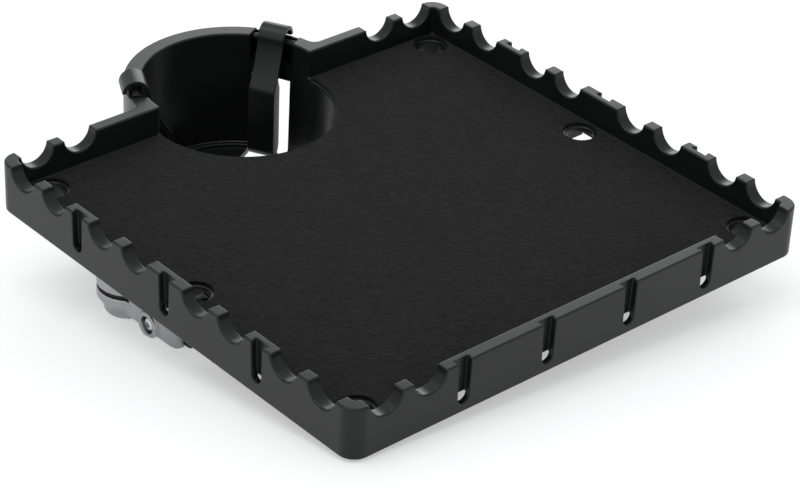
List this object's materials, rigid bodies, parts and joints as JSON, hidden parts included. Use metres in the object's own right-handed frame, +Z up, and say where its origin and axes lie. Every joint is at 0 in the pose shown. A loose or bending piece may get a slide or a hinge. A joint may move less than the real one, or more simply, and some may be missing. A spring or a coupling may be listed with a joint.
{
  "type": "accessory tray and pick holder",
  "caption": "Black moulded accessory tray with a notched and slotted rim for picks, sticks and cables, a felt mat, a sprung cup holder and a stand clamp underneath.",
  "frame": {"origin": "on the axis of the stand tube that the clamp grips, at the middle of the jaws' height", "axes": "+X along the tray's front edge, +Y from the front edge towards the cup holder, +Z up, along the stand tube"},
  "size_m": [0.2414, 0.2722, 0.0648],
  "materials": {
    "black_plastic": "satin moulded ABS with a faint grain",
    "felt": "dense short-fibre felt",
    "die_cast": "matt tumbled die casting",
    "steel": "bright plated",
    "rubber": "matt"
  },
  "bodies": {
    "clamp": {"clamp_body": "die_cast", "fixed_jaw_pad": "rubber", "jaw_pin": "steel", "clamp_bolt": "steel"},
    "tray": {"tray_rim": "black_plastic", "tray_floor": "black_plastic", "cup_holder": "black_plastic", "felt_mat": "felt", "arm_pin_right": "steel", "arm_spring_right": "steel", "arm_pin_left": "steel", "arm_spring_left": "steel", "clamp_plate": "die_cast", "plate_screw_1": "steel", "plate_screw_2": "steel", "plate_screw_3": "steel", "plate_screw_4": "steel", "swivel_bolt": "steel", "swivel_nut": "steel", "swivel_washer": "rubber"},
    "arm_right": {"cup_arm_right": "black_plastic"},
    "arm_left": {"cup_arm_left": "black_plastic"},
    "jaw": {"clamp_jaw": "die_cast", "clamp_jaw_pad": "rubber"},
    "washer": {"clamp_washer": "steel"},
    "nut": {"wing_nut": "die_cast"}
  },
  "joints": [
    {"name": "tray_swivel", "type": "hinge", "parent": "clamp", "child": "tray", "pos_m": [-0.0048, 0.04, 0], "axis": [0, 0, 1], "continuous": true},
    {"name": "arm_right_swing", "type": "hinge", "parent": "tray", "child": "arm_right", "pos_m": [0.13231, 0.116, 0.0372], "axis": [0.4695, -0.8829, 0], "range_deg": [0, 10], "stiffness_Nm_per_rad": 0.05, "springref_deg": -20.05},
    {"name": "arm_left_swing", "type": "hinge", "parent": "tray", "child": "arm_left", "pos_m": [0.05409, 0.116, 0.0372], "axis": [0.4695, 0.8829, 0], "range_deg": [0, 10], "stiffness_Nm_per_rad": 0.05, "springref_deg": -20.05},
    {"name": "washer_travel", "type": "slide", "parent": "clamp", "child": "washer", "axis": [1, 0, 0], "range_m": [0, 0.0035]},
    {"name": "wing_nut_turn", "type": "hinge", "parent": "washer", "child": "nut", "pos_m": [0, 0.0142, -0.0025], "axis": [1, 0, 0], "range_deg": [0, 1575]},
    {"name": "jaw_swing", "type": "hinge", "parent": "clamp", "child": "jaw", "pos_m": [0.0106, 0.028, 0], "axis": [0, 0, 1], "range_deg": [0, 10]}
  ],
  "couplings": [
    {"joint": "wing_nut_turn", "follows": "washer_travel", "rad_per_m": 7854},
    {"joint": "jaw_swing", "follows": "washer_travel", "rad_per_m": 49.866}
  ]
}
